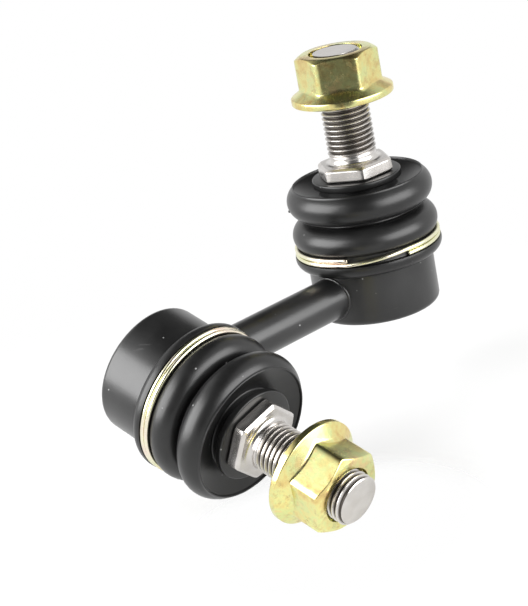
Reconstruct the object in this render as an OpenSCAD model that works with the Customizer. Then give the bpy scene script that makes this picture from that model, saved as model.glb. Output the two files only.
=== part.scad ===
// Stabilizer link: two sealed ball joints welded to the ends of a short round rod.
// Each joint is drawn once, standing on its back face with its stud upwards, and then put in its place.

/* [Link] */
// Distance between the two joint axes, measured along the rod
joint_spacing = 69.5; // [55:0.5:160]
// Angle from the upper stud round to the lower stud, about the rod
stud_twist = 110; // [0:1:180]
// Diameter of the rod
rod_d = 10.4; // [9:0.1:11]
// Height of the rod's axis above the housings' back faces
rod_height = 7.2; // [6.8:0.1:8.2]
// Width of a weld bead, along the rod
weld_width = 0.9; // [0.6:0.1:2]
// How far a weld bead stands out from the rod
weld_height = 0.35; // [0.2:0.05:0.6]

/* [Housing] */
// Outside diameter of a housing
housing_d = 31; // [30:0.1:34]
// Radius of the rolled edge round the back
back_round = 1.5; // [0.8:0.1:2]
// Thickness of the edge that is rolled over the end cap
roll_thickness = 1; // [0.6:0.1:1.2]
// How far the rolled edge reaches over the end cap
roll_overlap = 1.2; // [0.8:0.1:1.6]
// Thickness of the lip round the mouth, above the seat
mouth_lip = 1; // [0.8:0.1:1.5]
// How far the mouth's edge stays back from the seat's opening
mouth_setback = 0.4; // [0.2:0.1:0.6]
// How much wider the mouth opens towards the stud
mouth_flare = 0.9; // [0.5:0.1:1.2]
// Depth of the waist that holds the boot's foot
waist_depth = 0.8; // [0.5:0.1:1]
// Depth to which the rim above the waist is cut back
rim_depth = 0.3; // [0.2:0.05:0.4]
// Height of the rim above the waist
rim_height = 1.2; // [0.8:0.1:1.4]

/* [Ball, seat and end cap] */
// Diameter of the ball
ball_d = 18; // [17:0.1:18.6]
// Wall of the seat at the ball's widest place
seat_wall = 1.7; // [1.4:0.1:2]
// Thickness of the seat under the ball
seat_floor = 1.7; // [1.2:0.1:2.2]
// Angle from the stud's axis at which the seat lets go of the ball
seat_opening = 64; // [60:1:68]
// Number of slots that let the seat spread over the ball
seat_slots = 6; // [4:1:8]
// Width of a slot in the seat
seat_slot_width = 1; // [0.6:0.1:1.5]
// Diameter of the grease pocket in the seat's floor
grease_pocket_d = 7; // [4:0.5:9]
// Thickness of the end cap
cap_thickness = 2; // [1.6:0.1:2.6]
// How far the end cap reaches past the seat
cap_ledge = 1.5; // [1:0.1:2]
// Diameter of the dish pressed into the end cap
cap_dish_d = 15; // [10:0.5:18]
// Depth of the dish
cap_dish_depth = 0.4; // [0.2:0.05:0.6]

/* [Stud] */
// Thread diameter
thread_d = 12; // [11:0.5:12.5]
// Thread pitch
thread_pitch = 1.25; // [1:0.25:1.75]
// Length of the stud beyond the collar's seat
stud_length = 27.4; // [24:0.1:40]
// Height at which the full thread starts, above the collar's seat
thread_start = 2.6; // [2.2:0.1:4]
// Radius of the fillet between the collar and the shank
shank_fillet = 1; // [0.6:0.1:1.4]
// Bevel on the stud's end
end_bevel = 0.5; // [0.4:0.1:1.2]
// Width of the hexagonal collar across its flats
collar_flats = 17; // [16:0.1:18]
// Height of the collar
collar_height = 3.3; // [2.5:0.1:5]
// How far the collar's corners are turned down, across its seat
collar_bevel = 1; // [0.5:0.05:1.2]
// Diameter of the neck at the ball
neck_d = 10; // [9:0.1:10.6]
// Diameter of the land on which the boot's small end sits
land_d = 13.2; // [12.4:0.1:14]
// Length of the cone from the neck to the land
neck_cone = 2.5; // [2:0.1:3]
// Turn of the upper stud's hexagon
upper_stud_turn = 0; // [0:1:60]
// Turn of the lower stud's hexagon
lower_stud_turn = 16; // [0:1:60]

/* [Boot] */
// How far the folds stay inside the foot's outside
fold_inset = 0.25; // [0:0.05:1]
// Section radius of the lower fold
low_fold = 3.75; // [3.5:0.05:4]
// Section radius of the upper fold
high_fold = 4.1; // [3.8:0.05:4.5]
// Width of the valley between the folds
valley_width = 0.9; // [0.6:0.05:1.6]
// Depth of the valley between the folds
valley_depth = 4.2; // [4:0.1:4.6]
// How far the crease round the boot's sloped top lies inside the folds' outside
crease_inset = 2; // [1.8:0.1:2.6]
// Drop from the crease to the sloped top
crease_step = 0.3; // [0.2:0.05:0.5]
// Wall of the boot
boot_wall = 1.7; // [1.4:0.05:1.9]
// Height of the lower fold's centre above the ring groove
low_fold_rise = 2.5; // [2.3:0.05:2.8]
// Height of the lip's underside above the upper fold's centre
lip_rise = 3.4; // [3:0.1:4]
// Diameter of the lip under the collar
lip_d = 22; // [20:0.1:23]
// Thickness of the lip
lip_thickness = 1.4; // [1:0.1:1.8]
// Height of the groove under the lip
neck_groove = 1.8; // [1.7:0.1:2.2]
// Wall of the boot round the neck ring
neck_wall = 1.1; // [0.8:0.1:1.4]
// How far the foot stands out from the housing's wall
foot_stand = 2.75; // [2.5:0.05:3.5]
// Depth of the groove that the clamp ring lies in, below the foot's outside
ring_groove = 1.3; // [1.2:0.05:1.5]
// Height of the housing's mouth above the ring groove's lower side
groove_drop = 2.6; // [2.4:0.1:2.8]
// Height of the ring groove's lower side above the foot's widest place
foot_drop = 0.65; // [0.4:0.05:0.9]

/* [Rings] */
// Diameter of the clamp ring's wire
wire_d = 1.1; // [0.8:0.05:1.2]
// Height that the clamp ring's wire climbs to pass over its own start
wire_rise = 1.2; // [1.2:0.05:1.3]
// Angle that the clamp ring's wire goes through
wire_angle = 670; // [600:5:710]
// Where the upper clamp ring's wire starts
upper_wire_turn = 257; // [0:1:359]
// Where the lower clamp ring's wire starts
lower_wire_turn = 52; // [0:1:359]
// Width of the neck ring's section
neck_ring_width = 1.7; // [1.2:0.1:1.8]
// Height of the neck ring's section
neck_ring_height = 1.4; // [1:0.1:1.4]

/* [Nut] */
// Width of the nut across its flats
nut_flats = 18; // [17:0.1:19]
// Height of the nut, flange included
nut_height = 11.6; // [10.6:0.1:12]
// Diameter of the flange
flange_d = 25; // [23:0.1:27]
// Thickness of the flange's rim
flange_rim = 1.8; // [1.4:0.1:2.2]
// Slope of the flange's top
flange_slope = 32; // [20:1:36]
// How far the nut's corners are turned down, across its top
nut_bevel = 0.35; // [0.2:0.05:0.6]
// Depth of the countersinks at both ends of the nut's bore
countersink = 0.55; // [0.4:0.05:0.8]
// Space between the upper collar's seat and the nut
upper_grip = 15.8; // [8:0.1:16]
// Space between the lower collar's seat and the nut
lower_grip = 12.7; // [8:0.1:16]
// Turn of the upper nut's hexagon
upper_nut_turn = 13; // [0:1:60]
// Turn of the lower nut's hexagon
lower_nut_turn = 42; // [0:1:60]

/* [Fits] */
// Radial clearance of the ball in its seat and of the stud's cup on the ball
ball_fit = 0.03; // [0.01:0.01:0.1]
// Radial clearance of the seat and the end cap in the housing
press_fit = 0.02; // [0:0.01:0.05]
// Radial clearance of the nut on the thread
thread_fit = 0.04; // [0.01:0.01:0.1]
// Clearance of the boot's small end and the neck ring on the land
land_fit = 0.05; // [0.02:0.01:0.1]
// Clearance between the boot's lip and the collar
lip_fit = 0.15; // [0.1:0.05:0.3]
// Clearance between the boot's foot and the weld below it
foot_fit = 0.15; // [0.1:0.05:0.3]
// Clearance of the clamp ring's wire in its groove
wire_fit = 0.05; // [0.02:0.01:0.1]

/* [Hidden] */
// Segments in a full turn
$fn = 96;

// How far a cut runs past what it cuts, and how far one outline reaches into the next
overrun = 1;
tuck = 0.2;

// Sides of the clamp ring's wire and steps along it
wire_sides = 8;
wire_steps = 84;

housing_r = housing_d / 2;
rod_r = rod_d / 2;
ball_r = ball_d / 2;
thread_r = thread_d / 2;
neck_r = neck_d / 2;
land_r = land_d / 2;
wire_r = wire_d / 2;

// Standard proportions of a metric thread and of a hexagon's bevel
thread_depth = 0.6134 * thread_pitch;
valley_open = 0.875 * thread_pitch;
bevel_angle = 30;
root_r = thread_r - thread_depth;

// Heights above the back face, from the end cap up to the stud's end
cap_top = roll_thickness + cap_thickness;
ball_z = cap_top + seat_floor + ball_r;
seat_top = ball_z + ball_r * cos(seat_opening);
mouth_z = seat_top + mouth_lip;
groove_z = mouth_z - groove_drop;
ring_height = wire_d + wire_rise;
groove_top = groove_z + ring_height + 2 * wire_fit;
foot_z = groove_z - foot_drop;
foot_low = rod_height + rod_r + weld_height + foot_fit;
foot_round = foot_z - foot_low;
low_z = groove_top + low_fold_rise;
high_z = low_z + low_fold + valley_width + high_fold;
lip_z = high_z + lip_rise;
lip_top = lip_z + lip_thickness;
collar_z = lip_top + lip_fit;
seat_z = collar_z + collar_height;
end_z = seat_z + stud_length;
dip_z = lip_z - neck_groove;
ceiling_z = dip_z - boot_wall;
crease_z = high_z + sqrt(pow(high_fold, 2) - pow(high_fold - crease_inset, 2)) - crease_step;

// Radii of what nests in one another
seat_r = ball_r + seat_wall;
bore_r = seat_r + press_fit;
cap_r = seat_r + cap_ledge;
mouth_r = ball_r * sin(seat_opening) + mouth_setback;
foot_r = housing_r + foot_stand;
boot_r = foot_r - fold_inset;
groove_r = foot_r - ring_groove;
ring_r = groove_r + wire_fit + wire_r;
neck_ring_in = land_r + land_fit;
neck_ring_out = neck_ring_in + neck_ring_width;
neck_groove_r = neck_ring_out + land_fit + neck_wall;
low_centre = boot_r - low_fold;
high_centre = boot_r - high_fold;
crease_r = boot_r - crease_inset;
valley_r = boot_r - valley_depth;
neck_ring_z = lip_z - (neck_groove + neck_ring_height) / 2;

// Places of the two joints: the middle of the upper collar's seat is the origin, and the rod runs along -X
module at_upper()
{
    translate([0, 0, -seat_z])
        children();
}

module at_lower()
{
    translate([-joint_spacing, 0, rod_height - seat_z])
        rotate([stud_twist, 0, 0])
            translate([0, 0, -rod_height])
                children();
}

// A round bar along the rod's axis, seen from a joint, towards +X or -X
module bar_from_joint(radius, length, towards)
{
    translate([0, 0, rod_height])
        rotate([0, towards * 90, 0])
            cylinder(r = radius, h = length);
}

// A post round a joint's axis that reaches past the rod and its welds
module joint_post(radius)
{
    translate([0, 0, -rod_height])
        cylinder(r = radius, h = rod_height + mouth_z + rod_d);
}

module rod()
{
    color("#2b2c2e")
        difference() {
            at_upper() bar_from_joint(rod_r, joint_spacing, -1);
            at_upper() joint_post(housing_r);
            at_lower() joint_post(housing_r);
        }
}

// Bead where the rod meets a housing: it follows the housing's wall and stands out from the rod
module weld(towards)
{
    color("#232426")
        difference() {
            intersection() {
                bar_from_joint(rod_r + weld_height, housing_d, towards);
                joint_post(housing_r + weld_width);
            }
            bar_from_joint(rod_r, housing_d + overrun, towards);
            joint_post(housing_r);
        }
}

// Outside of a housing, filled to its axis
module housing_outline()
{
    waist_r = housing_r - waist_depth;
    translate([0, back_round])
        square([housing_r, foot_z - back_round]);
    square([housing_r - back_round, back_round]);
    translate([housing_r - back_round, back_round])
        circle(back_round);
    square([waist_r, mouth_z]);
    translate([0, mouth_z - rim_height])
        square([housing_r - rim_depth, rim_height]);
}

// Room inside a housing: rolled edge, end cap, seat and mouth
module housing_room()
{
    translate([0, -overrun])
        square([cap_r - roll_overlap, overrun + roll_thickness]);
    translate([0, roll_thickness])
        square([cap_r + press_fit, cap_thickness]);
    translate([0, cap_top])
        square([bore_r, seat_top - cap_top]);
    polygon([
        [0, seat_top], [mouth_r, seat_top], [mouth_r + mouth_flare, mouth_z],
        [mouth_r + mouth_flare, mouth_z + overrun], [0, mouth_z + overrun]
    ]);
}

module housing()
{
    color("#2b2c2e")
        rotate_extrude()
            difference() {
                housing_outline();
                housing_room();
            }
}

// Pressed disc that closes the back, dished in the middle
module end_cap()
{
    color("#3a3b3d")
        difference() {
            translate([0, 0, roll_thickness])
                cylinder(r = cap_r, h = cap_thickness);
            translate([0, 0, roll_thickness - overrun])
                cylinder(d = cap_dish_d, h = overrun + cap_dish_depth);
        }
}

// Plastic seat that wraps the ball past its middle, slotted so that it can snap over it
module ball_seat()
{
    color("ivory")
        difference() {
            translate([0, 0, cap_top])
                cylinder(r = seat_r, h = seat_top - cap_top);
            translate([0, 0, ball_z])
                sphere(r = ball_r + ball_fit);
            translate([0, 0, cap_top - overrun])
                cylinder(d = grease_pocket_d, h = ball_r);
            for (i = [0 : seat_slots - 1])
                rotate(i * 360 / seat_slots)
                    translate([0, -seat_slot_width / 2, ball_z])
                        cube([seat_r + overrun, seat_slot_width, ball_r]);
        }
}

module ball()
{
    color("silver")
        translate([0, 0, ball_z])
            sphere(r = ball_r);
}

// Hexagon whose top corners are turned down by a cone
module hex_body(flats, height, bevel, turn)
{
    corner_r = flats / 2 / cos(bevel_angle);
    top_r = flats / 2 - bevel;
    fall = (corner_r + overrun - top_r) * tan(bevel_angle);
    intersection() {
        rotate(turn)
            cylinder(r = corner_r, h = height, $fn = 6);
        rotate_extrude()
            polygon([
                [0, -overrun], [corner_r + overrun, -overrun],
                [corner_r + overrun, height - fall], [top_r, height], [0, height]
            ]);
    }
}

// Shank of a stud: neck, land, fillet over the collar, thread at its crest, bevelled end.
// The one thread valley that shows under the nut is cut at its real size, so the free thread ends there.
module stud_outline(grip)
{
    free_end = seat_z + grip;
    fillet_r = root_r + shank_fillet;
    fillet_z = seat_z + shank_fillet;
    difference() {
        polygon([
            [0, ball_z], [neck_r, ball_z], [neck_r, ceiling_z - neck_cone],
            [land_r, ceiling_z], [land_r, collar_z], [fillet_r, collar_z], [fillet_r, fillet_z],
            [root_r, fillet_z], [root_r, seat_z + thread_start - thread_depth],
            [thread_r, seat_z + thread_start], [thread_r, free_end - valley_open],
            [root_r, free_end - valley_open / 2], [thread_r, free_end],
            [thread_r, end_z - end_bevel], [thread_r - end_bevel, end_z], [0, end_z]
        ]);
        translate([fillet_r, fillet_z])
            circle(shank_fillet);
    }
}

module ball_stud(grip, turn)
{
    color("#c9c7c2")
        difference() {
            union() {
                rotate_extrude()
                    stud_outline(grip);
                translate([0, 0, collar_z])
                    hex_body(collar_flats, collar_height, collar_bevel, turn);
            }
            translate([0, 0, ball_z])
                sphere(r = ball_r + ball_fit);
        }
}

// What lies over a boot's sloped top, from its neck out to the crease, at a depth below it
module over_boot_top(depth)
{
    polygon([
        [0, dip_z - depth], [neck_groove_r, dip_z - depth], [crease_r, crease_z - depth],
        [crease_r, end_z], [0, end_z]
    ]);
}

// Outside of a boot, filled to its axis: rounded foot, ring groove, two folds, sloped top, neck and lip
module boot_outline()
{
    difference() {
        union() {
            translate([foot_r - foot_round, foot_z])
                circle(foot_round);
            translate([0, foot_z])
                square([groove_r, low_z - foot_z]);
            translate([low_centre, low_z])
                circle(low_fold);
        }
        translate([groove_r, groove_z])
            square([foot_r, groove_top - groove_z]);
    }
    translate([0, low_z])
        square([valley_r, high_z - low_z]);
    difference() {
        union() {
            translate([high_centre, high_z])
                circle(high_fold);
            translate([0, high_z])
                square([high_centre, high_fold]);
        }
        over_boot_top(0);
    }
    translate([0, dip_z - tuck])
        square([neck_groove_r, lip_z - dip_z + tuck]);
    translate([0, lip_z])
        square([lip_d / 2 - lip_thickness / 2, lip_thickness]);
    translate([lip_d / 2 - lip_thickness / 2, lip_z + lip_thickness / 2])
        circle(lip_thickness / 2);
}

// Hollow of a fold, open towards the axis
module fold_hollow(centre, height, radius)
{
    translate([centre, height])
        circle(radius);
    translate([0, height - radius + tuck])
        square([centre, 2 * (radius - tuck)]);
}

// Room inside a boot: the hollows of its folds, the bore on the land and the slot for the neck ring
module boot_room()
{
    square([land_r + land_fit, end_z]);
    translate([0, mouth_z - tuck])
        square([valley_r - boot_wall, ceiling_z - mouth_z]);
    fold_hollow(low_centre, low_z, low_fold - boot_wall);
    difference() {
        fold_hollow(high_centre, high_z, high_fold - boot_wall);
        over_boot_top(boot_wall);
    }
    translate([0, neck_ring_z - land_fit])
        square([neck_ring_out + land_fit, neck_ring_height + 2 * land_fit]);
}

module boot()
{
    color("#1c1c1d")
        rotate_extrude()
            difference() {
                boot_outline();
                housing_outline();
                boot_room();
            }
}

// Steel ring inside the boot's small end, round the land
module neck_ring()
{
    color("#8f9296")
        translate([0, 0, neck_ring_z])
            difference() {
                cylinder(r = neck_ring_out, h = neck_ring_height);
                translate([0, 0, -overrun])
                    cylinder(r = neck_ring_in, h = neck_ring_height + 2 * overrun);
            }
}

// Share of its climb that a clamp ring's wire has made, a given angle from its start:
// it lies flat as far as its end above, and climbs in what is left of the first turn
function climbed(along) = min(max((along - wire_angle + 360) / (720 - wire_angle), 0), 1);

// Sprung wire that holds the boot's foot: one wire, wound not quite twice round
module clamp_ring(turn)
{
    start_z = groove_z + wire_fit + wire_r;
    points = [
        for (i = [0 : wire_steps], j = [0 : wire_sides - 1])
            let (
                along = i * wire_angle / wire_steps,
                round = j * 360 / wire_sides,
                r = ring_r + wire_r * cos(round)
            )
            [
                r * cos(turn + along), r * sin(turn + along),
                start_z + wire_rise * climbed(along) + wire_r * sin(round)
            ]
    ];
    walls = [
        for (i = [0 : wire_steps - 1], j = [0 : wire_sides - 1])
            let (
                here = i * wire_sides,
                beyond = here + wire_sides,
                next = (j + 1) % wire_sides
            )
            [here + j, here + next, beyond + next, beyond + j]
    ];
    first = [for (j = [wire_sides - 1 : -1 : 0]) j];
    last = [for (j = [0 : wire_sides - 1]) wire_steps * wire_sides + j];
    color("#d8c06a")
        polyhedron(points, concat(walls, [first, last]));
}

// Hexagon nut with a sloped flange, countersunk at both ends
module flange_nut(grip, turn)
{
    flange_r = flange_d / 2;
    hole_r = thread_r + thread_fit;
    sink_r = hole_r + countersink;
    cone_top = flange_rim + (flange_r - nut_flats / 2) * tan(flange_slope);
    color("#cfc26a")
        translate([0, 0, seat_z + grip])
            difference() {
                union() {
                    hex_body(nut_flats, nut_height, nut_bevel, turn);
                    rotate_extrude()
                        polygon([
                            [0, 0], [flange_r, 0], [flange_r, flange_rim],
                            [nut_flats / 2, cone_top], [0, cone_top]
                        ]);
                }
                rotate_extrude()
                    polygon([
                        [0, -overrun], [sink_r, -overrun], [sink_r, 0],
                        [hole_r, countersink], [hole_r, nut_height - countersink],
                        [sink_r, nut_height], [sink_r, nut_height + overrun],
                        [0, nut_height + overrun]
                    ]);
            }
}

rod();
at_upper() weld(-1);  // upper_weld
at_lower() weld(1);  // lower_weld
at_upper() housing();  // upper_housing
at_upper() end_cap();  // upper_end_cap
at_upper() ball_seat();  // upper_ball_seat
at_upper() ball();  // upper_ball
at_upper() ball_stud(upper_grip, upper_stud_turn);  // upper_ball_stud
at_upper() boot();  // upper_boot
at_upper() clamp_ring(upper_wire_turn);  // upper_clamp_ring
at_upper() neck_ring();  // upper_neck_ring
at_upper() flange_nut(upper_grip, upper_nut_turn);  // upper_flange_nut
at_lower() housing();  // lower_housing
at_lower() end_cap();  // lower_end_cap
at_lower() ball_seat();  // lower_ball_seat
at_lower() ball();  // lower_ball
at_lower() ball_stud(lower_grip, lower_stud_turn);  // lower_ball_stud
at_lower() boot();  // lower_boot
at_lower() clamp_ring(lower_wire_turn);  // lower_clamp_ring
at_lower() neck_ring();  // lower_neck_ring
at_lower() flange_nut(lower_grip, lower_nut_turn);  // lower_flange_nut
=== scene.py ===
"""Looks of the stabilizer link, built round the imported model."""

import math

import bmesh
import bpy
from mathutils import Matrix, Vector


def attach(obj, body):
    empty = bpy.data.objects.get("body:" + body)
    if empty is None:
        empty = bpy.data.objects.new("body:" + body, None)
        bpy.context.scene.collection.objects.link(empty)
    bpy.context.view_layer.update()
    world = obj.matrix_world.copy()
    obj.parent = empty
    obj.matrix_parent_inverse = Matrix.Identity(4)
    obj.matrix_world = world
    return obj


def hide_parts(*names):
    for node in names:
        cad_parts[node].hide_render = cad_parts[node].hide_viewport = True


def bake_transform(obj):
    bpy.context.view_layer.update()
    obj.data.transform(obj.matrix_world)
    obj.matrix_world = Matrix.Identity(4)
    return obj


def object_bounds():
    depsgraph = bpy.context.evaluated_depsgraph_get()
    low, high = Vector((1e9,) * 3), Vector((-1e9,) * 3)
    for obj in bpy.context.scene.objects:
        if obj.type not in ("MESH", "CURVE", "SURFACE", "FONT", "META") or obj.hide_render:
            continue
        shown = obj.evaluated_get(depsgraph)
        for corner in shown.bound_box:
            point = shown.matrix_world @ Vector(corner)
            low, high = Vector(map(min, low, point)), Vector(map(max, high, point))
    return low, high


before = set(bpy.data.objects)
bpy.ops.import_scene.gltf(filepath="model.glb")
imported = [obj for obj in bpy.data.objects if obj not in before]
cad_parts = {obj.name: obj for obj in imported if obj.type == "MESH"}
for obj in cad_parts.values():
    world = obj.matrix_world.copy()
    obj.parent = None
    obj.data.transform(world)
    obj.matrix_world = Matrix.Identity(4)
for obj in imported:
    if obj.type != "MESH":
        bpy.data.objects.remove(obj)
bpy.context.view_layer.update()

# Sizes in millimetres. Heights are above a housing's back face, along its stud.
MM = 0.001

# Link and housings
JOINT_SPACING = 69.5
STUD_TWIST = math.radians(110)
ROD_HEIGHT = 7.2
ROD_R = 5.2
WELD_SIZE = 0.38
HOUSING_R = 15.5
BACK_ROUND = 1.5
ROLL_OVERLAP = 1.2
CAP_R = 12.2
CAP_LOW = 1.0
CAP_TOP = 3.0
DISH_R = 7.5
DISH_DEPTH = 0.4
BALL_Z = 13.7
BALL_CUP_R = 9.03
SEAT_BORE_R = 10.72
SEAT_TOP = 17.6453
MOUTH_LIP = 1
MOUTH_Z = SEAT_TOP + MOUTH_LIP
MOUTH_R = 8.49
MOUTH_FLARE = 0.9
WAIST_R = 14.7
RIM_R = 15.2
RIM_HEIGHT = 1.2

# Boot and its wire ring
FOOT_R = 18.25
FOOT_LOW = 12.9
FOOT_DROP = 3.25
FOOT_Z = MOUTH_Z - FOOT_DROP
GROOVE_DROP = 2.6
GROOVE_Z = MOUTH_Z - GROOVE_DROP
GROOVE_WIDTH = 2.4
GROOVE_TOP = GROOVE_Z + GROOVE_WIDTH
GROOVE_R = 16.95
FOLD_R = 18.0
LOW_FOLD = 3.75
LOW_FOLD_RISE = 2.5
LOW_FOLD_Z = GROOVE_TOP + LOW_FOLD_RISE
HIGH_FOLD = 4.1
VALLEY_WIDTH = 0.9
HIGH_FOLD_Z = LOW_FOLD_Z + LOW_FOLD + VALLEY_WIDTH + HIGH_FOLD
VALLEY_R = 13.8
BOOT_WALL = 1.7
BOOT_GAP = 0.03
NIB_TURN = 135.3
NIB_R = 17.6
NIB_Z = -2.05
CREASE_ANGLE = 60
CREASE_STEP = 0.55
LIP_Z = HIGH_FOLD_Z + 3.0
LIP_TOP = HIGH_FOLD_Z + 4.8
LIP_ROUND = 0.4
LIP_R = 11.0
DIP_Z = HIGH_FOLD_Z + 0.8
CEILING_Z = DIP_Z - BOOT_WALL
NECK_GROOVE_R = 9.5
BOOT_BORE_R = 6.65
WIRE_R = 0.55
WIRE_RING_R = 17.55
WIRE_Z = GROOVE_Z + 0.6
WIRE_RISE = 1.2
WIRE_ANGLE = 670

# Stud
NECK_R = 5.0
NECK_CONE = 2.5
LAND_R = 6.6
LAND_Z = LIP_TOP - 4.9
LIP_FIT = 0.15
COLLAR_Z = LIP_TOP + LIP_FIT
COLLAR_HEIGHT = 3.3
SEAT_Z = COLLAR_Z + COLLAR_HEIGHT
STUD_LENGTH = 27.4
STUD_END = SEAT_Z + STUD_LENGTH
COLLAR_FLATS = 17.0
COLLAR_BEVEL = 0.85
COLLAR_SLOPE = math.radians(40)
COLLAR_DRAFT = math.radians(3)
COLLAR_CORNER = 0.16
SHANK_R = 5.75
THREAD_R = 6.0
PITCH = 1.25
THREAD_DEPTH = 0.6134 * PITCH
ROOT_R = THREAD_R - THREAD_DEPTH
THREAD_START = 1.83
SHANK_FILLET = 1.3
END_BEVEL = 0.5

# Nut, measured from its flange's underside
NUT_FLATS = 18.0
NUT_HEIGHT = 11.6
NUT_BEVEL = 0.35
FLANGE_R = 12.5
FLANGE_RIM = 1.8
FLANGE_SLOPE = math.radians(32)
RIM_ROUND = 0.4
NUT_HOLE_R = 6.04
NUT_BORE_R = 6.52
COUNTERSINK = 0.55
HEX_SLOPE = math.radians(30)
NUT_CORNER = 0.14
FLANGE_BLEND = 0.7
# How softly two faces of a collar or nut run into each other
EDGE_BLEND = 0.2

# What differs between the joints: space under the nut, turns in degrees, side of the rod
SIDES = {
    "upper": {"grip": 15.8, "stud_turn": -4, "nut_turn": 13, "wire_turn": 257, "rod": -1},
    "lower": {"grip": 12.7, "stud_turn": 20, "nut_turn": 42, "wire_turn": 52, "rod": 1},
}
PLACES = {
    "upper": Matrix.Scale(MM, 4) @ Matrix.Translation((0, 0, -SEAT_Z)),
    "lower": Matrix.Scale(MM, 4)
    @ Matrix.Translation((-JOINT_SPACING, 0, ROD_HEIGHT - SEAT_Z))
    @ Matrix.Rotation(STUD_TWIST, 4, "X")
    @ Matrix.Translation((0, 0, -ROD_HEIGHT)),
}


# Camera, at the photograph's viewing angle: its axes, its place in metres and its lens in millimetres
CAMERA_RIGHT = Vector((0.699269, -0.692347, -0.177984))
CAMERA_UP = Vector((0.348484, 0.112759, 0.930507))
CAMERA_BACK = Vector((-0.624165, -0.712700, 0.320121))
CAMERA_PLACE = Vector((-0.355244, -0.363042, 0.139332))
CAMERA_LENS = 127.88
SENSOR_WIDTH = 36
NEAREST_SEEN = 0.01

# Level directions as the camera sees them, in which the stage is laid out
ACROSS = Vector((CAMERA_RIGHT.x, CAMERA_RIGHT.y, 0)).normalized()
AWAY = Vector((-CAMERA_BACK.x, -CAMERA_BACK.y, 0)).normalized()


def set_camera():
    camera = bpy.data.objects.new("camera", bpy.data.cameras.new("camera"))
    bpy.context.scene.collection.objects.link(camera)
    turn = Matrix((CAMERA_RIGHT, CAMERA_UP, CAMERA_BACK)).transposed().to_4x4()
    camera.matrix_world = Matrix.Translation(CAMERA_PLACE) @ turn
    camera.data.sensor_width = SENSOR_WIDTH
    camera.data.lens = CAMERA_LENS
    camera.data.clip_start = NEAREST_SEEN
    bpy.context.scene.camera = camera


# Shader sums and finishes

class Value:
    """A shader socket that can be used in sums."""

    def __init__(self, nodes, socket):
        self.nodes = nodes
        self.socket = socket

    def maths(self, operation, first, second):
        return self.nodes.node("ShaderNodeMath", {"operation": operation}, {0: first, 1: second})

    def __add__(self, other):
        return self.maths("ADD", self, other)

    def __radd__(self, other):
        return self.maths("ADD", other, self)

    def __rsub__(self, other):
        return self.maths("SUBTRACT", other, self)

    def __mul__(self, other):
        return self.maths("MULTIPLY", self, other)

    def __rmul__(self, other):
        return self.maths("MULTIPLY", other, self)

    def between(self, low, high):
        """0 below low, 1 above high, and a smooth step from one to the other."""
        inputs = {"Value": self, "From Min": low, "From Max": high, "To Min": 0, "To Max": 1}
        return self.nodes.node("ShaderNodeMapRange", {"interpolation_type": "SMOOTHSTEP"}, inputs)


class Nodes:
    """A node tree under construction."""

    def __init__(self, tree):
        self.tree = tree

    def node(self, kind, settings, inputs, output=0):
        made = self.tree.nodes.new(kind)
        for key, value in settings.items():
            if key == "stops":
                self.set_stops(made.color_ramp, value)
            else:
                setattr(made, key, value)
        for key, value in inputs.items():
            if isinstance(value, Value):
                self.tree.links.new(value.socket, made.inputs[key])
            else:
                made.inputs[key].default_value = value
        return Value(self, made.outputs[output])

    def set_stops(self, ramp, stops):
        while len(ramp.elements) < len(stops):
            ramp.elements.new(1)
        for element, (place, colour) in zip(ramp.elements, stops):
            element.position = place
            element.color = (*colour, 1)

    def ray(self, kind):
        return self.node("ShaderNodeLightPath", {}, {}, kind)

    def mix_shaders(self, share, first, second):
        return self.node("ShaderNodeMixShader", {}, {0: share, 1: first, 2: second})


class Finish(Nodes):
    """A material under construction, and the shader that its nodes feed."""

    def __init__(self, name, **fixed):
        self.material = bpy.data.materials.new(name)
        self.material.use_nodes = True
        super().__init__(self.material.node_tree)
        self.shader = self.tree.nodes["Principled BSDF"]
        for socket, value in fixed.items():
            self.shader.inputs[socket.replace("_", " ")].default_value = value

    def place(self, scale=(1, 1, 1), turn=(0, 0, 0)):
        coordinates = self.node("ShaderNodeTexCoord", {}, {}, "Object")
        return self.node("ShaderNodeMapping", {}, {"Vector": coordinates, "Scale": scale, "Rotation": turn})

    def cloud(self, scale, detail=3, where=None, roughness=0.5):
        """Soft noise from 0 to 1, with about this many waves in a metre."""
        inputs = {"Vector": where or self.place(), "Scale": scale, "Detail": detail, "Roughness": roughness}
        return self.node("ShaderNodeTexNoise", {}, inputs, "Fac")

    def specks(self, scale, size):
        """Small round spots, one in the middle of each cell."""
        inputs = {"Vector": self.place(), "Scale": scale}
        distance = self.node("ShaderNodeTexVoronoi", {}, inputs, "Distance")
        return 1 - distance.between(size * 0.6, size)

    def mix(self, share, first, second):
        inputs = {"Factor": share, 6: first, 7: second}
        return self.node("ShaderNodeMix", {"data_type": "RGBA"}, inputs, 2)

    def ramp(self, share, stops):
        return self.node("ShaderNodeValToRGB", {"stops": stops}, {"Fac": share})

    def feed(self, socket, value):
        self.tree.links.new(value.socket, self.shader.inputs[socket])

    def bump(self, height, distance, strength):
        """Fine relief, its depth given in metres."""
        inputs = {"Height": height, "Distance": distance, "Strength": strength}
        self.feed("Normal", self.node("ShaderNodeBump", {}, inputs))


def grey(level, warmth=0.0):
    return (level * (1 + warmth), level, level * (1 - warmth), 1)


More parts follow.
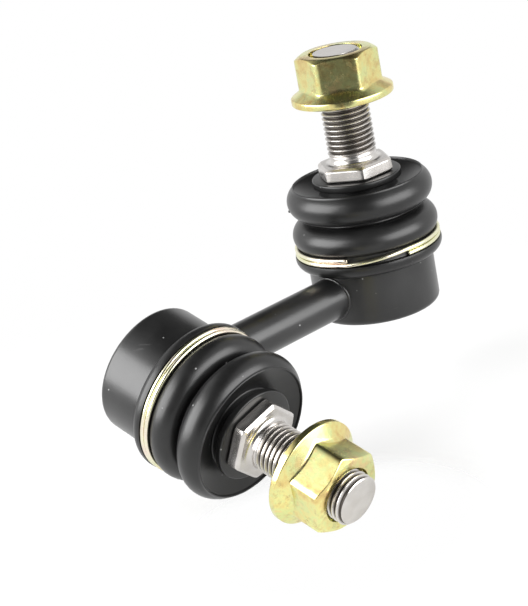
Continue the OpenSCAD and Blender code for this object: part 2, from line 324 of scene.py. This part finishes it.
def black_coat():
    """Satin black coat on forged steel: faint orange peel, dust and light scuffs."""
    f = Finish("satin_black_coat", Metallic=0, Specular_IOR_Level=0.55)
    broad = f.cloud(110, detail=4)
    patch = f.cloud(420, detail=4)
    dust = f.specks(430, size=0.11) * f.cloud(260, detail=2).between(0.50, 0.56)
    strokes = f.place(scale=(1, 1, 9), turn=(0.5, 0.9, 0.2))
    scratch = f.cloud(260, detail=3, where=strokes).between(0.64, 0.72)
    scuff = scratch * f.cloud(70, detail=2).between(0.52, 0.64)
    tone = f.mix(broad.between(0.3, 0.7), grey(0.008), grey(0.014))
    tone = f.mix(scuff * 0.4, tone, grey(0.12))
    f.feed("Base Color", f.mix(dust * 0.7, tone, grey(0.40)))
    f.feed("Roughness", 0.22 + 0.10 * broad + 0.06 * patch + 0.15 * dust + 0.12 * scuff)
    f.bump(f.cloud(2600, detail=2) + 1.5 * dust, distance=0.00003, strength=0.3)
    return f.material


def boot_rubber():
    """Matte black moulded rubber, with a little bloom and dust."""
    f = Finish("moulded_boot_rubber", Metallic=0, Specular_IOR_Level=0.45)
    bloom = f.cloud(140, detail=4)
    dust = f.specks(400, size=0.10) * f.cloud(230, detail=2).between(0.54, 0.59)
    tone = f.mix(bloom.between(0.35, 0.75), grey(0.006), grey(0.011))
    f.feed("Base Color", f.mix(dust * 0.6, tone, grey(0.40)))
    f.feed("Roughness", 0.28 + 0.10 * bloom + 0.2 * dust)
    f.bump(f.cloud(3400, detail=3), distance=0.00003, strength=0.3)
    return f.material


def bare_steel():
    """Bright rolled and turned steel, its thread's roots darkened with dirt and painted shade."""
    f = Finish("bright_stud_steel", Metallic=1)
    broad = f.cloud(180, detail=4)
    fine = f.cloud(1500, detail=2)
    root = f.node("ShaderNodeAttribute", {"attribute_name": "root"}, {}, "Fac").between(0.2, 0.9)
    steel = f.mix(broad.between(0.35, 0.7), grey(0.54, 0.05), grey(0.62, 0.035))
    # Painted shade and dirt: the deeper a point lies in a thread's root, the darker the steel is painted
    f.feed("Base Color", f.mix(root * 0.93, steel, grey(0.035, 0.25)))
    f.feed("Roughness", 0.17 + 0.08 * broad + 0.05 * fine + 0.2 * root)
    f.bump(fine, distance=0.00002, strength=0.08)
    return f.material


def yellow_zinc():
    """Yellow chromate over zinc: gold that drifts to green, olive and rose."""
    f = Finish("yellow_zinc_plate", Metallic=1)
    drift = f.cloud(95, detail=3, roughness=0.6)
    mottle = f.cloud(900, detail=4)
    stain = f.cloud(420, detail=6, roughness=0.7).between(0.50, 0.66)
    share = 0.80 * drift + 0.20 * mottle
    plate = f.ramp(share, [
        (0.30, (0.50, 0.33, 0.15)),
        (0.40, (0.72, 0.56, 0.22)),
        (0.48, (0.76, 0.69, 0.29)),
        (0.55, (0.68, 0.72, 0.33)),
        (0.63, (0.78, 0.65, 0.30)),
        (0.72, (0.77, 0.54, 0.37)),
    ])
    f.feed("Base Color", f.mix(stain * 0.5, plate, (0.46, 0.29, 0.12, 1)))
    f.feed("Roughness", 0.12 + 0.12 * mottle + 0.06 * drift + 0.08 * stain)
    f.bump(mottle, distance=0.00002, strength=0.20)
    return f.material


def pale_zinc():
    """The wire's thinner chromate: silver with cream, rose and green in it."""
    f = Finish("pale_zinc_wire", Metallic=1)
    drift = f.cloud(70, detail=3, roughness=0.6)
    f.feed("Base Color", f.ramp(drift, [
        (0.34, (0.80, 0.66, 0.58)),
        (0.46, (0.84, 0.78, 0.62)),
        (0.56, (0.78, 0.78, 0.52)),
        (0.68, (0.86, 0.74, 0.46)),
    ]))
    f.feed("Roughness", 0.16 + 0.12 * f.cloud(700, detail=2))
    return f.material


def seat_plastic():
    """Ivory acetal, greased."""
    f = Finish("ivory_seat_plastic", Metallic=0)
    broad = f.cloud(200, detail=3)
    f.feed("Base Color", f.mix(broad, (0.66, 0.61, 0.49, 1), (0.78, 0.74, 0.62, 1)))
    f.feed("Roughness", 0.28 + 0.12 * broad)
    return f.material


def ring_steel():
    """Plain grey steel of the ring inside a boot's small end."""
    f = Finish("plain_ring_steel", Metallic=1)
    broad = f.cloud(300, detail=3)
    f.feed("Base Color", f.mix(broad, grey(0.32), grey(0.42)))
    f.feed("Roughness", 0.35 + 0.15 * broad)
    return f.material


# Mesh helpers: pieces are drawn in a joint's own millimetres and then put in place

class Outline:
    """Half section of a turned piece, drawn in radius and height."""

    def __init__(self, radius, height):
        self.mesh = bmesh.new()
        self.first = self.tip = self.mesh.verts.new((radius, 0, height))

    def line(self, *points):
        for radius, height in points:
            end = self.mesh.verts.new((radius, 0, height))
            self.mesh.edges.new((self.tip, end))
            self.tip = end
        return self

    def arc(self, radius, height, degrees, steps=8):
        """Carries the tip round a centre, anticlockwise for positive degrees."""
        made = bmesh.ops.spin(
            self.mesh, geom=[self.tip], cent=(radius, 0, height), axis=(0, -1, 0),
            angle=math.radians(degrees), steps=steps, use_merge=False)
        self.tip = made["geom_last"][0]
        return self

    def close(self):
        self.mesh.edges.new((self.tip, self.first))
        return self

    def turned(self, steps=160):
        whole = list(self.mesh.verts) + list(self.mesh.edges)
        bmesh.ops.spin(
            self.mesh, geom=whole, cent=(0, 0, 0), axis=(0, 0, 1),
            angle=2 * math.pi, steps=steps, use_merge=True)
        return settle(self.mesh)


def settle(mesh):
    bmesh.ops.remove_doubles(mesh, verts=mesh.verts, dist=0.0005)
    bmesh.ops.recalc_face_normals(mesh, faces=mesh.faces)
    return mesh


def wind(mesh, section, degrees, rise, steps):
    """Winds a section on about the height axis and returns its last place."""
    made = bmesh.ops.spin(
        mesh, geom=section, cent=(0, 0, 0), axis=(0, 0, 1), dvec=(0, 0, rise / steps),
        angle=math.radians(degrees), steps=steps, use_merge=False)
    return made["geom_last"]


def screw(outline, turns, steps):
    """Winds a section one turn up by the pitch, and stacks such turns."""
    mesh = outline.mesh
    wind(mesh, list(mesh.verts) + list(mesh.edges), 360, PITCH, steps)
    turn = list(mesh.verts) + list(mesh.edges) + list(mesh.faces)
    for count in range(1, turns):
        copy = bmesh.ops.duplicate(mesh, geom=turn)["geom"]
        verts = [item for item in copy if isinstance(item, bmesh.types.BMVert)]
        bmesh.ops.translate(mesh, verts=verts, vec=(0, 0, count * PITCH))
    return settle(mesh)


def cut_flat(mesh, height, above):
    """Cuts a mesh off flat at a height and closes it there."""
    bmesh.ops.bisect_plane(
        mesh, geom=list(mesh.verts) + list(mesh.edges) + list(mesh.faces), dist=1e-5,
        plane_co=(0, 0, height), plane_no=(0, 0, 1), clear_outer=above, clear_inner=not above)
    rim = [e for e in mesh.edges if e.is_boundary and all(abs(v.co.z - height) < 1e-3 for v in e.verts)]
    bmesh.ops.holes_fill(mesh, edges=rim, sides=0)


def joined(*meshes):
    """One mesh of several closed shells."""
    whole = bmesh.new()
    for mesh in meshes:
        part = bpy.data.meshes.new("part")
        mesh.to_mesh(part)
        mesh.free()
        whole.from_mesh(part)
        bpy.data.meshes.remove(part)
    return whole


def turn_about_axis(mesh, degrees):
    matrix = Matrix.Rotation(math.radians(degrees), 3, "Z")
    bmesh.ops.rotate(mesh, verts=mesh.verts, cent=(0, 0, 0), matrix=matrix)


def piece(name, mesh, place, slot, sharp=32, finish=None):
    """Puts a mesh in its place, in metres, as an object at the origin."""
    bmesh.ops.transform(mesh, matrix=place, verts=mesh.verts)
    for face in mesh.faces:
        face.smooth = True
    data = bpy.data.meshes.new(name)
    mesh.to_mesh(data)
    mesh.free()
    data.set_sharp_from_angle(angle=math.radians(sharp))
    data.materials.append(finish or FINISHES[slot])
    made = bpy.data.objects.new(name, data)
    bpy.context.scene.collection.objects.link(made)
    return made


def soft_min(a, b, blend):
    near = max(blend - abs(a - b), 0) / blend
    return min(a, b) - near * near * blend / 4


def soft_max(a, b, blend):
    return -soft_min(-a, -b, blend)


def hexagon_radius(angle, flats, corner):
    """Distance from the axis to a hexagon's wall, with its corners eased."""
    off_flat = math.radians((math.degrees(angle) % 60) - 30)
    return soft_min(flats / 2 / math.cos(off_flat), flats / math.sqrt(3) - corner, 4 * corner)


def reshape(mesh, radius, low, high, radius_at):
    """Moves a round wall between two heights out or in, by angle and height."""
    for vert in mesh.verts:
        on_wall = abs(math.hypot(vert.co.x, vert.co.y) - radius) < 1e-3
        if on_wall and low < vert.co.z < high:
            reach = radius_at(math.atan2(vert.co.y, vert.co.x), vert.co.z) / radius
            vert.co.x *= reach
            vert.co.y *= reach


def steps_between(low, high, count):
    return [low + (high - low) * step / count for step in range(count + 1)]


def on_circle(centre, height, radius, degrees):
    angle = math.radians(degrees)
    return centre + radius * math.cos(angle), height + radius * math.sin(angle)


# Pieces

def housing_shape():
    inner = CAP_R - ROLL_OVERLAP
    edge = 0.25
    return (
        Outline(inner, edge)
        .arc(inner + edge, edge, 90, steps=4)
        .line((HOUSING_R - BACK_ROUND, 0))
        .arc(HOUSING_R - BACK_ROUND, BACK_ROUND, 90, steps=8)
        .line((HOUSING_R, FOOT_Z), (WAIST_R, FOOT_Z), (WAIST_R, MOUTH_Z - RIM_HEIGHT))
        .line((RIM_R, MOUTH_Z - RIM_HEIGHT), (RIM_R, MOUTH_Z), (MOUTH_R + MOUTH_FLARE, MOUTH_Z))
        .line((MOUTH_R, SEAT_TOP), (SEAT_BORE_R, SEAT_TOP), (SEAT_BORE_R, CAP_TOP))
        .line((CAP_R, CAP_TOP), (CAP_R, CAP_LOW), (inner, CAP_LOW))
        .close()
        .turned()
    )


def end_cap_shape():
    edge = 0.3
    fit = 0.02
    lead = 0.06
    floor = CAP_LOW + DISH_DEPTH
    return (
        Outline(0, floor)
        .line((DISH_R - 2 * edge, floor))
        .arc(DISH_R - 2 * edge, floor - edge, -45, steps=4)
        .line((DISH_R, CAP_LOW + lead), (DISH_R + edge, CAP_LOW), (CAP_R - fit, CAP_LOW))
        .line((CAP_R - fit, CAP_TOP), (0, CAP_TOP))
        .turned()
    )


def rod_shape():
    """A round bar from inside one housing's wall to inside the other's."""
    inside = 1.5
    half = JOINT_SPACING / 2 - HOUSING_R + inside
    bar = Outline(0, -half)
    bar.line(*[(ROD_R, height) for height in steps_between(-half, half, 24)])
    return bar.line((0, half)).turned(steps=96)


def weld_shape(towards):
    """A thin rippled bead that follows the housing's wall round the rod."""
    lift = 0.02
    off_wall = 0.12
    mesh = Outline(ROD_R + WELD_SIZE, 0).arc(ROD_R + lift, 0, 360, steps=10).turned(steps=120)
    quarter = Matrix.Rotation(math.pi / 2, 3, "Y")
    bmesh.ops.rotate(mesh, verts=mesh.verts, cent=(0, 0, 0), matrix=quarter)
    for vert in mesh.verts:
        round_rod = math.atan2(vert.co.z, vert.co.y)
        ripple = 1 + 0.10 * math.sin(31 * round_rod) + 0.06 * math.sin(17 * round_rod + 1)
        wall = math.sqrt(HOUSING_R ** 2 - vert.co.y ** 2)
        vert.co.x = towards * (wall + off_wall + vert.co.x * ripple)
        vert.co.z += ROD_HEIGHT
    return settle(mesh)


# Where the folds' circles meet the valley between them
LOW_CENTRE = FOLD_R - LOW_FOLD
HIGH_CENTRE = FOLD_R - HIGH_FOLD
LOW_END = math.degrees(math.acos((VALLEY_R - LOW_CENTRE) / LOW_FOLD))
HIGH_START = -math.degrees(math.acos((VALLEY_R - HIGH_CENTRE) / HIGH_FOLD))
VALLEY_LOW = on_circle(LOW_CENTRE, LOW_FOLD_Z, LOW_FOLD, LOW_END)[1]
VALLEY_HIGH = on_circle(HIGH_CENTRE, HIGH_FOLD_Z, HIGH_FOLD, HIGH_START)[1]
VALLEY_Z = (VALLEY_LOW + VALLEY_HIGH) / 2
VALLEY_ROOT = VALLEY_R - (VALLEY_HIGH - VALLEY_LOW) / 2


def boot_foot_shape():
    """Foot, ring groove and lower fold, up to the middle of the valley."""
    foot_round = FOOT_Z - FOOT_LOW
    foot_centre = FOOT_R - foot_round
    foot_end = math.degrees(math.asin((GROOVE_Z - FOOT_Z) / foot_round))
    fold_start = math.degrees(math.asin((GROOVE_TOP - LOW_FOLD_Z) / LOW_FOLD))
    groove_round = 0.25
    groove_edge = 0.1
    inner = VALLEY_R - BOOT_WALL
    wall, rim, mouth = HOUSING_R + BOOT_GAP, RIM_R + BOOT_GAP, MOUTH_Z + BOOT_GAP
    waist, foot = WAIST_R + BOOT_GAP, FOOT_Z + BOOT_GAP
    return (
        Outline(wall, FOOT_LOW)
        .line((foot_centre, FOOT_LOW))
        .arc(foot_centre, FOOT_Z, 90 + foot_end, steps=14)
        .line((GROOVE_R + groove_round, GROOVE_Z))
        .arc(GROOVE_R + groove_round, GROOVE_Z + groove_round, -90, steps=3)
        .line((GROOVE_R, GROOVE_TOP - groove_edge), on_circle(LOW_CENTRE, LOW_FOLD_Z, LOW_FOLD, fold_start))
        .arc(LOW_CENTRE, LOW_FOLD_Z, LOW_END - fold_start, steps=26)
        .arc(VALLEY_R, VALLEY_Z, -90, steps=5)
        .line((inner, VALLEY_Z), (inner, mouth), (rim, mouth), (rim, MOUTH_Z - RIM_HEIGHT))
        .line((waist, MOUTH_Z - RIM_HEIGHT), (waist, foot), (wall, foot))
        .close()
        .turned()
    )


def boot_top_shape():
    """Upper fold, sloped top, neck groove and lip, from the middle of the valley."""
    inner = VALLEY_R - BOOT_WALL
    bead_start, bead_end, bead = -64, -59, HIGH_FOLD + 0.13
    rim_start, rim = CREASE_ANGLE - 6, HIGH_FOLD + 0.20
    crease_r, crease_z = on_circle(HIGH_CENTRE, HIGH_FOLD_Z, rim, CREASE_ANGLE)
    crease_edge = [(0.14, 0.04), (0.22, 0.16), (0.30, CREASE_STEP)]
    neck_round = 0.5
    bore_edge = 0.2
    hollow = 1.7
    hollow_top = HIGH_FOLD_Z + 0.6
    hollow_foot = HIGH_FOLD_Z - 3

    def on_fold(radius, degrees):
        return on_circle(HIGH_CENTRE, HIGH_FOLD_Z, radius, degrees)

    return (
        Outline(VALLEY_ROOT, VALLEY_Z)
        .arc(VALLEY_R, VALLEY_Z, -90, steps=5)
        .arc(HIGH_CENTRE, HIGH_FOLD_Z, bead_start - HIGH_START, steps=6)
        .line(on_fold(bead, bead_start + 1), on_fold(bead, bead_end - 2), on_fold(HIGH_FOLD, bead_end))
        .arc(HIGH_CENTRE, HIGH_FOLD_Z, rim_start - bead_end, steps=26)
        .line(on_fold(rim, rim_start + 3), (crease_r, crease_z))
        .line(*[(crease_r - inward, crease_z - down) for inward, down in crease_edge])
        .line((NECK_GROOVE_R + neck_round, DIP_Z))
        .arc(NECK_GROOVE_R + neck_round, DIP_Z + neck_round, -90, steps=5)
        .line((NECK_GROOVE_R, LIP_Z), (LIP_R - LIP_ROUND, LIP_Z))
        .arc(LIP_R - LIP_ROUND, LIP_Z + LIP_ROUND, 90, steps=5)
        .line((LIP_R, LIP_TOP - LIP_ROUND))
        .arc(LIP_R - LIP_ROUND, LIP_TOP - LIP_ROUND, 90, steps=5)
        .line((BOOT_BORE_R + bore_edge, LIP_TOP), (BOOT_BORE_R, LIP_TOP - bore_edge))
        .line((BOOT_BORE_R, CEILING_Z), (NECK_GROOVE_R, CEILING_Z), (HIGH_CENTRE, hollow_top))
        .arc(HIGH_CENTRE, hollow_top - hollow, -180, steps=12)
        .line((inner, hollow_foot), (inner, VALLEY_Z))
        .close()
        .turned()
    )


def nib_shape():
    """The little stub that the mould's vent leaves on the upper fold."""
    sunk, height = 0.5, 0.40
    foot_r, tip_r, edge = 0.42, 0.30, 0.12
    lean = 100
    mesh = (
        Outline(0, -sunk)
        .line((foot_r, -sunk), (tip_r, height - edge))
        .arc(tip_r - edge, height - edge, 90, steps=4)
        .line((0, height))
        .turned(steps=20)
    )
    place = Matrix.Translation((*on_circle(0, 0, NIB_R, NIB_TURN), HIGH_FOLD_Z + NIB_Z))
    outwards = Matrix.Rotation(math.radians(NIB_TURN), 4, "Z") @ Matrix.Rotation(math.radians(lean), 4, "Y")
    bmesh.ops.transform(mesh, matrix=place @ outwards, verts=mesh.verts)
    return mesh


def wire_shape(turn):
    """One wire, wound twice round but for the gap in which it climbs over its start."""
    flat, climb = WIRE_ANGLE - 360, 720 - WIRE_ANGLE
    cut_edge = 0.12
    mesh = bmesh.new()
    bmesh.ops.create_circle(mesh, segments=14, radius=WIRE_R)
    upright = Matrix.Rotation(math.pi / 2, 3, "X")
    bmesh.ops.rotate(mesh, verts=mesh.verts, cent=(0, 0, 0), matrix=upright)
    bmesh.ops.translate(mesh, verts=mesh.verts, vec=(WIRE_RING_R, 0, WIRE_Z))
    end = list(mesh.verts) + list(mesh.edges)
    end = wind(mesh, end, flat, rise=0, steps=100)
    end = wind(mesh, end, climb, rise=WIRE_RISE, steps=16)
    wind(mesh, end, flat, rise=0, steps=100)
    caps = bmesh.ops.holes_fill(mesh, edges=mesh.edges, sides=0)["faces"]
    rims = list({edge for face in caps for edge in face.edges})
    bmesh.ops.bevel(
        mesh, geom=rims, offset=cut_edge, offset_type="OFFSET", segments=2, profile=0.5,
        affect="EDGES", material=-1, clamp_overlap=True)
    settle(mesh)
    turn_about_axis(mesh, turn)
    return mesh


def thread_shape():
    """Screw thread that runs out over the collar and ends in a bevel."""
    crest = PITCH / 8
    flank = (THREAD_R - ROOT_R) * math.tan(math.radians(30))
    root = PITCH - crest - 2 * flank
    ease = 0.05
    spare_turns = 3
    root_rise = 0.5
    least_r = 1
    low = SEAT_Z - PITCH
    climb, fall = low + root, low + root + flank + crest
    outline = Outline(ROOT_R + ease, low - ease)
    outline.line((ROOT_R, low + 0.5 * ease), (ROOT_R, climb - 0.5 * ease), (ROOT_R + ease, climb + ease))
    outline.line((THREAD_R - ease, climb + flank - ease), (THREAD_R, climb + flank + 0.5 * ease))
    outline.line((THREAD_R, fall - 0.5 * ease), (THREAD_R - ease, fall + ease))
    outline.line((ROOT_R + ease, low + PITCH - ease))
    mesh = screw(outline, math.ceil((STUD_END - SEAT_Z) / PITCH) + spare_turns, steps=72)
    for vert in mesh.verts:
        along = max(vert.co.z - SEAT_Z - THREAD_START, 0)
        bevel = max(THREAD_R - END_BEVEL - (vert.co.z - STUD_END), least_r)
        radius = math.hypot(vert.co.x, vert.co.y)
        eased = min(max(radius, SHANK_R - root_rise * along), SHANK_R + along, bevel)
        vert.co.x *= eased / radius
        vert.co.y *= eased / radius
    cut_flat(mesh, SEAT_Z + SHANK_FILLET, above=False)
    cut_flat(mesh, STUD_END, above=True)
    bmesh.ops.recalc_face_normals(mesh, faces=mesh.faces)
    return mesh


def shank_shape():
    """Cup on the ball, neck, land and the fillet over the collar."""
    cup = math.degrees(math.asin(NECK_R / BALL_CUP_R))
    fillet_r = SHANK_R + SHANK_FILLET
    in_collar, under_seat = COLLAR_Z + 1, SEAT_Z - 0.05
    return (
        Outline(0, BALL_Z + BALL_CUP_R)
        .arc(0, BALL_Z, -cup, steps=8)
        .line((NECK_R, LAND_Z - NECK_CONE), (LAND_R, LAND_Z), (LAND_R, in_collar))
        .line((fillet_r, under_seat), (fillet_r, SEAT_Z))
        .arc(fillet_r, SEAT_Z + SHANK_FILLET, -90, steps=8)
        .line((0, SEAT_Z + SHANK_FILLET))
        .turned(steps=96)
    )


def mark_root_dirt_and_shade(stud):
    """Notes on each point how deep in the thread it lies, for the dirt and painted shade there."""
    root_dirt_and_shade = stud.verts.layers.float.new("root")
    slack = 0.01
    for vert in stud.verts:
        crest = min(THREAD_R, THREAD_R - END_BEVEL + STUD_END - vert.co.z)
        radius = math.hypot(vert.co.x, vert.co.y)
        if vert.co.z > SEAT_Z + THREAD_START and radius > ROOT_R - slack:
            vert[root_dirt_and_shade] = (crest - radius) / (THREAD_R - ROOT_R)


def collar_shape(turn):
    """Six-sided collar with a bevel along its upper edges and a smaller one below."""
    wall_r = COLLAR_FLATS / 2
    top = wall_r - COLLAR_BEVEL
    foot = wall_r - 0.3
    inset = 0.3
    margin = 0.03
    heights = steps_between(COLLAR_Z + margin, SEAT_Z - margin, 36)
    mesh = (
        Outline(0, COLLAR_Z)
        .line((top, COLLAR_Z))
        .line(*[(wall_r, height) for height in heights])
        .line((top - inset, SEAT_Z), (0, SEAT_Z))
        .turned(steps=240)
    )

    def wall(angle, height):
        upper = top + (SEAT_Z - height) / math.tan(COLLAR_SLOPE)
        lower = foot + (height - COLLAR_Z)
        side = wall_r - (height - COLLAR_Z) * math.tan(COLLAR_DRAFT)
        half = soft_min(soft_min(side, upper, EDGE_BLEND), lower, EDGE_BLEND)
        return hexagon_radius(angle, 2 * half, COLLAR_CORNER)

    reshape(mesh, wall_r, COLLAR_Z, SEAT_Z, wall)
    turn_about_axis(mesh, turn)
    return mesh


def nut_shape(grip, turn):
    """Hexagon that blends into a sloped flange, with a threaded bore."""
    top = NUT_FLATS / 2 - NUT_BEVEL
    rim_turn = 90 - math.degrees(FLANGE_SLOPE)
    rim_r, rim_z = on_circle(FLANGE_R - RIM_ROUND, FLANGE_RIM - RIM_ROUND, RIM_ROUND, rim_turn)
    flange_top = FLANGE_RIM + 4.2
    bevel_low = NUT_HEIGHT - 1.4
    row_gap = 0.4
    rim_margin, top_margin, inset = 0.05, 0.02, 0.03
    heights = (
        steps_between(rim_z + rim_margin, flange_top, 36)
        + steps_between(flange_top + row_gap, bevel_low - row_gap, 6)
        + steps_between(bevel_low, NUT_HEIGHT - top_margin, 20)
    )
    mesh = (
        Outline(NUT_HOLE_R + COUNTERSINK, 0)
        .line((FLANGE_R - RIM_ROUND, 0))
        .arc(FLANGE_R - RIM_ROUND, RIM_ROUND, 90, steps=5)
        .line((FLANGE_R, FLANGE_RIM - RIM_ROUND))
        .arc(FLANGE_R - RIM_ROUND, FLANGE_RIM - RIM_ROUND, rim_turn, steps=4)
        .line(*[(top, height) for height in heights])
        .line((top - inset, NUT_HEIGHT), (NUT_HOLE_R + COUNTERSINK, NUT_HEIGHT))
        .line((NUT_BORE_R, NUT_HEIGHT - COUNTERSINK), (NUT_BORE_R, COUNTERSINK))
        .close()
        .turned(steps=240)
    )

    def wall(angle, height):
        bevel = top + (NUT_HEIGHT - height) / math.tan(HEX_SLOPE)
        hexagon = soft_min(hexagon_radius(angle, NUT_FLATS, NUT_CORNER), bevel, EDGE_BLEND)
        cone = rim_r - (height - rim_z) / math.tan(FLANGE_SLOPE)
        return soft_max(hexagon, cone, FLANGE_BLEND)

    reshape(mesh, top, rim_z, NUT_HEIGHT, wall)
    root_r, root_width = NUT_BORE_R + 0.1, 1.15
    crest_low, crest_high = 0.5, 0.65
    ridge = (
        Outline(root_r, COUNTERSINK)
        .line((root_r, COUNTERSINK + root_width))
        .line((NUT_HOLE_R, COUNTERSINK + crest_high), (NUT_HOLE_R, COUNTERSINK + crest_low))
        .close()
    )
    inner = screw(ridge, math.floor((NUT_HEIGHT - 2 * COUNTERSINK) / PITCH) - 1, steps=60)
    bmesh.ops.holes_fill(inner, edges=inner.edges, sides=0)
    whole = joined(mesh, inner)
    turn_about_axis(whole, turn)
    bmesh.ops.translate(whole, verts=whole.verts, vec=(0, 0, SEAT_Z + grip))
    return whole


def build_joint(side):
    facts, place = SIDES[side], PLACES[side]

    def add(name, mesh, slot, body, node, **kind):
        made = piece(f"{side}_{name}", mesh, place, slot, **kind)
        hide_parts(f"{side}_{node}")
        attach(made, body)

    def bend(name, mesh):
        made = piece(f"{side}_{name}", mesh, place, "boot_rubber", sharp=40)
        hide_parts(f"{side}_boot")
        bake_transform(made)

    add("cup", housing_shape(), "black_coat", "link", "housing")
    add("back_cap", end_cap_shape(), "black_coat", "link", "end_cap")
    add("weld_bead", weld_shape(facts["rod"]), "black_coat", "link", "weld", sharp=60)
    wire = wire_shape(facts["wire_turn"])
    add("wire_ring", wire, "yellow_zinc", "link", "clamp_ring", sharp=50, finish=WIRE_FINISH)
    stud = joined(shank_shape(), collar_shape(facts["stud_turn"]), thread_shape())
    # The stud's thread roots get dirt and painted shade
    mark_root_dirt_and_shade(stud)
    add("stud", stud, "bare_steel", f"{side}_stud", "ball_stud", sharp=28)
    nut = nut_shape(facts["grip"], facts["nut_turn"])
    add("nut", nut, "yellow_zinc", f"{side}_nut", "flange_nut", sharp=40)
    bend("boot_foot", boot_foot_shape())
    top = boot_top_shape()
    if side == "upper":
        top = joined(top, nib_shape())
    bend("boot_top", top)
    for node, slot in (("ball", "bare_steel"), ("ball_seat", "seat_plastic"), ("neck_ring", "ring_steel")):
        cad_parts[f"{side}_{node}"].material_slots[0].material = FINISHES[slot]


def build_rod():
    turn = Matrix.Rotation(math.pi / 2, 4, "Y")
    middle = Matrix.Translation((-JOINT_SPACING / 2, 0, ROD_HEIGHT - SEAT_Z))
    bar = piece("bar", rod_shape(), Matrix.Scale(MM, 4) @ middle @ turn, "black_coat")
    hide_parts("rod")
    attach(bar, "link")


# Floor, light and background, in metres. A place is given across the view, away from the camera and up.
MIDDLE = Vector((-0.035, -0.01, -0.02))
FLOOR_GAP = 0.0002
FLOOR_SIDE, FLOOR_FRONT, FLOOR_BACK = 1.6, -0.6, 3
# A notch in the floor's front edge, in which the metal mirrors the dim room
NOTCH = [(-0.25, FLOOR_FRONT), (-0.07, -0.18), (0.07, -0.18), (0.25, FLOOR_FRONT)]
# Share of the paper that is clear to the camera by the part, and the distances over which the rest clears
LEAST_CLEAR = 0.50
CLEARING = (0.06, 0.15)
# A clear spot for the lower nut, which dips below the floor at the end of its swing
DIP_SPOT = Vector((-0.070, -0.047, -0.059))
DIP_EDGE = (0.028, 0.042)
SOFTBOXES = {
    "softbox_left": {"place": (-0.63, -0.18, 0.26), "size": (0.74, 0.56), "power": 9.6},
    "softbox_right": {"place": (0.58, -0.34, 0.20), "size": (0.80, 0.50), "power": 7.6},
}
# Soft edges in the room, as shares of a direction (squared for the walls), and how bright its dim part is
WALL_EDGE = (0.09, 0.24)
SWEEP_EDGE = (0.30, 0.70)
SWEEP_TOP = (0.27, 0.45)
DIM_RISE = (0.2, 0.8)
DIM_LOW, DIM_HIGH = 0.11, 0.04
WHITE = (1, 1, 1, 1)


def set_floor():
    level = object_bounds()[0].z
    centre = Vector((MIDDLE.x, MIDDLE.y, level - FLOOR_GAP))
    near = [(-FLOOR_SIDE, FLOOR_FRONT)] + NOTCH + [(FLOOR_SIDE, FLOOR_FRONT)]
    corners = near + [(FLOOR_SIDE, FLOOR_BACK), (-FLOOR_SIDE, FLOOR_BACK)]
    mesh = bmesh.new()
    mesh.faces.new([mesh.verts.new(centre + ACROSS * x + AWAY * y) for x, y in corners])
    data = bpy.data.meshes.new("floor")
    mesh.to_mesh(data)
    mesh.free()
    floor = bpy.data.objects.new("floor", data)
    bpy.context.scene.collection.objects.link(floor)
    data.materials.append(floor_paper())


def floor_paper():
    """White paper with the part's shadow. The camera sees the white room through it, and metal a glow."""
    f = Finish("floor_paper", Base_Color=grey(0.9), Roughness=0.9, Specular_IOR_Level=0)

    def distance(point):
        inputs = {0: f.place(), 1: tuple(point)}
        return f.node("ShaderNodeVectorMath", {"operation": "DISTANCE"}, inputs, "Value")

    lit = Value(f, f.shader.outputs[0])
    glow = f.node("ShaderNodeEmission", {}, {"Color": WHITE, "Strength": 1})
    clear = f.node("ShaderNodeBsdfTransparent", {}, {})
    share = LEAST_CLEAR + (1 - LEAST_CLEAR) * distance(MIDDLE).between(*CLEARING)
    covered = distance(DIP_SPOT).between(*DIP_EDGE)
    mirrored = f.mix_shaders(f.ray("Is Glossy Ray") * share, lit, glow)
    seen_through = f.ray("Is Camera Ray") * (1 - covered * (1 - share))
    lit_through = f.ray("Is Shadow Ray") * (1 - covered)
    shown = f.mix_shaders(seen_through + lit_through, mirrored, clear)
    f.tree.links.new(shown.socket, f.tree.nodes["Material Output"].inputs["Surface"])
    return f.material


def set_lamps():
    for name, facts in SOFTBOXES.items():
        across, away, up = facts["place"]
        offset = ACROSS * across + AWAY * away + Vector((0, 0, up))
        data = bpy.data.lights.new(name, "AREA")
        data.shape = "RECTANGLE"
        data.size, data.size_y = facts["size"]
        data.energy = facts["power"]
        made = bpy.data.objects.new(name, data)
        bpy.context.scene.collection.objects.link(made)
        made.location = MIDDLE + offset
        made.rotation_euler = (-offset).to_track_quat("-Z", "Y").to_euler()


def set_room():
    """A tent: white walls at both sides, a white sweep low behind, dim in front and overhead."""
    world = bpy.data.worlds.new("studio")
    bpy.context.scene.world = world
    world.use_nodes = True
    room = Nodes(world.node_tree)
    ray = room.node("ShaderNodeTexCoord", {}, {}, "Generated")

    def along(direction):
        inputs = {0: ray, 1: tuple(direction)}
        return room.node("ShaderNodeVectorMath", {"operation": "DOT_PRODUCT"}, inputs, "Value")

    def cloth(strength):
        return room.node("ShaderNodeBackground", {}, {"Color": WHITE, "Strength": strength})

    sideways, height = along(ACROSS), along((0, 0, 1))
    walls = (sideways * sideways).between(*WALL_EDGE)
    sweep = along(AWAY).between(*SWEEP_EDGE) * (1 - height.between(*SWEEP_TOP))
    dark_share = (1 - room.ray("Is Camera Ray")) * (1 - walls) * (1 - sweep)
    dim = room.mix_shaders(height.between(*DIM_RISE), cloth(DIM_LOW), cloth(DIM_HIGH))
    shown = room.mix_shaders(dark_share, cloth(1), dim)
    room.tree.links.new(shown.socket, room.tree.nodes["World Output"].inputs["Surface"])


set_camera()
FINISHES = {
    "black_coat": black_coat(),
    "boot_rubber": boot_rubber(),
    "bare_steel": bare_steel(),
    "yellow_zinc": yellow_zinc(),
    "seat_plastic": seat_plastic(),
    "ring_steel": ring_steel(),
}
WIRE_FINISH = pale_zinc()
build_rod()
for side in SIDES:
    build_joint(side)
set_floor()
set_lamps()
set_room()
bpy.context.scene.view_settings.view_transform = "Standard"
